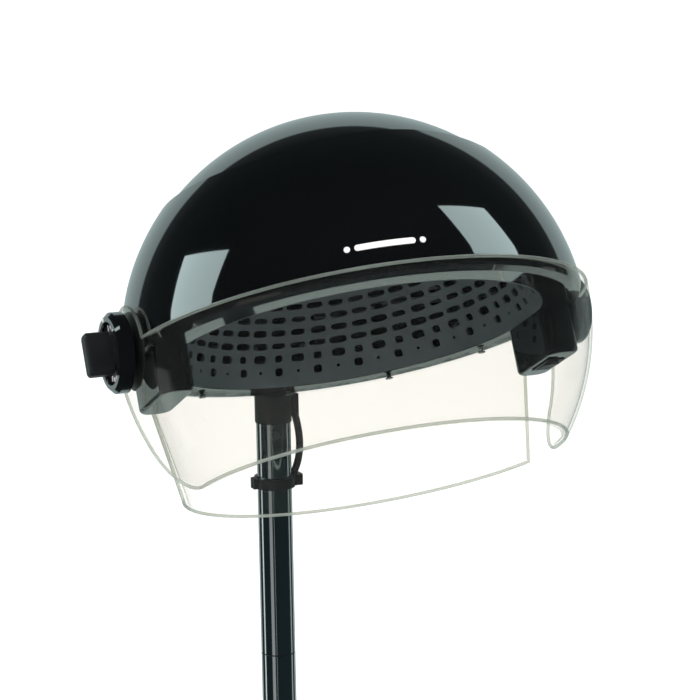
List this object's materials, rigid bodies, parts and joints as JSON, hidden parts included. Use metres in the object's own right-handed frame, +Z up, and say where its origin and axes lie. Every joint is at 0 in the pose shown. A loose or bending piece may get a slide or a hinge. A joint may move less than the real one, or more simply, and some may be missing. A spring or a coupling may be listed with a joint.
{
  "type": "hood hair dryer",
  "caption": "Salon hood hair dryer head on a round pole: dome with perforated air bowl, lifting clear visor, side timer dial, heater, blower and tilting bracket.",
  "frame": {"origin": "centre of the pole's bottom end, on the pole's axis", "axes": "+Z up along the pole, front of the hood towards -Y, visor hinge along X with the timer dial at -X"},
  "size_m": [0.453, 0.4478, 0.6259],
  "materials": {
    "gloss_black": "high gloss",
    "satin_black": "satin",
    "bowl_grey": "satin",
    "clear_plastic": "clear, polished",
    "chrome": "polished",
    "steel": "satin",
    "cast_aluminium": "satin",
    "motor_paint": "satin",
    "mica": "matt",
    "heating_wire": "satin",
    "white_mark": "matt",
    "rubber": "matt",
    "filter_foam": "open foam"
  },
  "bodies": {
    "pole": {"pole_lower": "chrome", "pole_upper": "chrome", "pole_sleeve": "satin_black", "pole_screws": "steel", "neck": "satin_black", "power_cable": "rubber", "pole_clip": "satin_black"},
    "visor": {"visor": "clear_plastic", "visor_bushes": "satin_black"},
    "timer_knob": {"dial_plate": "satin_black", "dial_marks": "white_mark", "timer_knob": "satin_black", "timer_shaft": "steel"},
    "fan": {"motor_shaft": "steel", "fan_impeller": "satin_black"},
    "heat_switch": {"heat_rocker": "satin_black"},
    "tilt_knob": {"tilt_knob": "satin_black"},
    "head": {"main_shell": "gloss_black", "front_cover": "gloss_black", "badge": "white_mark", "rim_ring": "gloss_black", "diffuser": "bowl_grey", "housing_left": "gloss_black", "housing_right": "gloss_black", "timer_unit": "satin_black", "switch_body": "satin_black", "hinge_boss_left": "satin_black", "hinge_boss_right": "satin_black", "hinge_screws": "steel", "dial_bezel": "gloss_black", "dial_index": "white_mark", "hinge_cap": "gloss_black", "neck_guard": "clear_plastic", "guard_screws": "steel", "motor_mount": "satin_black", "motor": "motor_paint", "heater_coils": "heating_wire", "heater_cards": "mica", "heater_ring": "steel", "thermostat": "steel", "terminal_block": "white_mark", "filter_pad": "filter_foam", "motor_lead": "rubber", "timer_lead": "rubber", "switch_lead": "rubber", "heater_lead": "rubber", "head_bracket": "cast_aluminium", "bracket_screws": "steel", "pivot_bolt": "steel", "friction_washers": "satin_black", "bracket_shroud": "gloss_black"}
  },
  "joints": [
    {"name": "head_tilt", "type": "hinge", "parent": "pole", "child": "head", "pos_m": [0, 0, 0.37], "axis": [-1, 0, 0], "range_deg": [-12, 15]},
    {"name": "visor_lift", "type": "hinge", "parent": "head", "child": "visor", "pos_m": [0, -0.20044, 0.43935], "axis": [-1, 0, 0], "range_deg": [0, 75]},
    {"name": "timer_turn", "type": "hinge", "parent": "head", "child": "timer_knob", "pos_m": [-0.216, -0.20044, 0.43935], "axis": [1, 0, 0], "range_deg": [0, 300]},
    {"name": "fan_spin", "type": "hinge", "parent": "head", "child": "fan", "pos_m": [0, -0.14363, 0.55583], "axis": [0, 0.4384, 0.8988], "continuous": true},
    {"name": "heat_switch_rock", "type": "hinge", "parent": "head", "child": "heat_switch", "pos_m": [0.175, -0.21947, 0.40034], "axis": [-1, 0, 0], "range_deg": [0, 8]},
    {"name": "tilt_clamp_turn", "type": "hinge", "parent": "head", "child": "tilt_knob", "pos_m": [0.042, 0, 0.37], "axis": [1, 0, 0], "range_deg": [0, 180]}
  ]
}
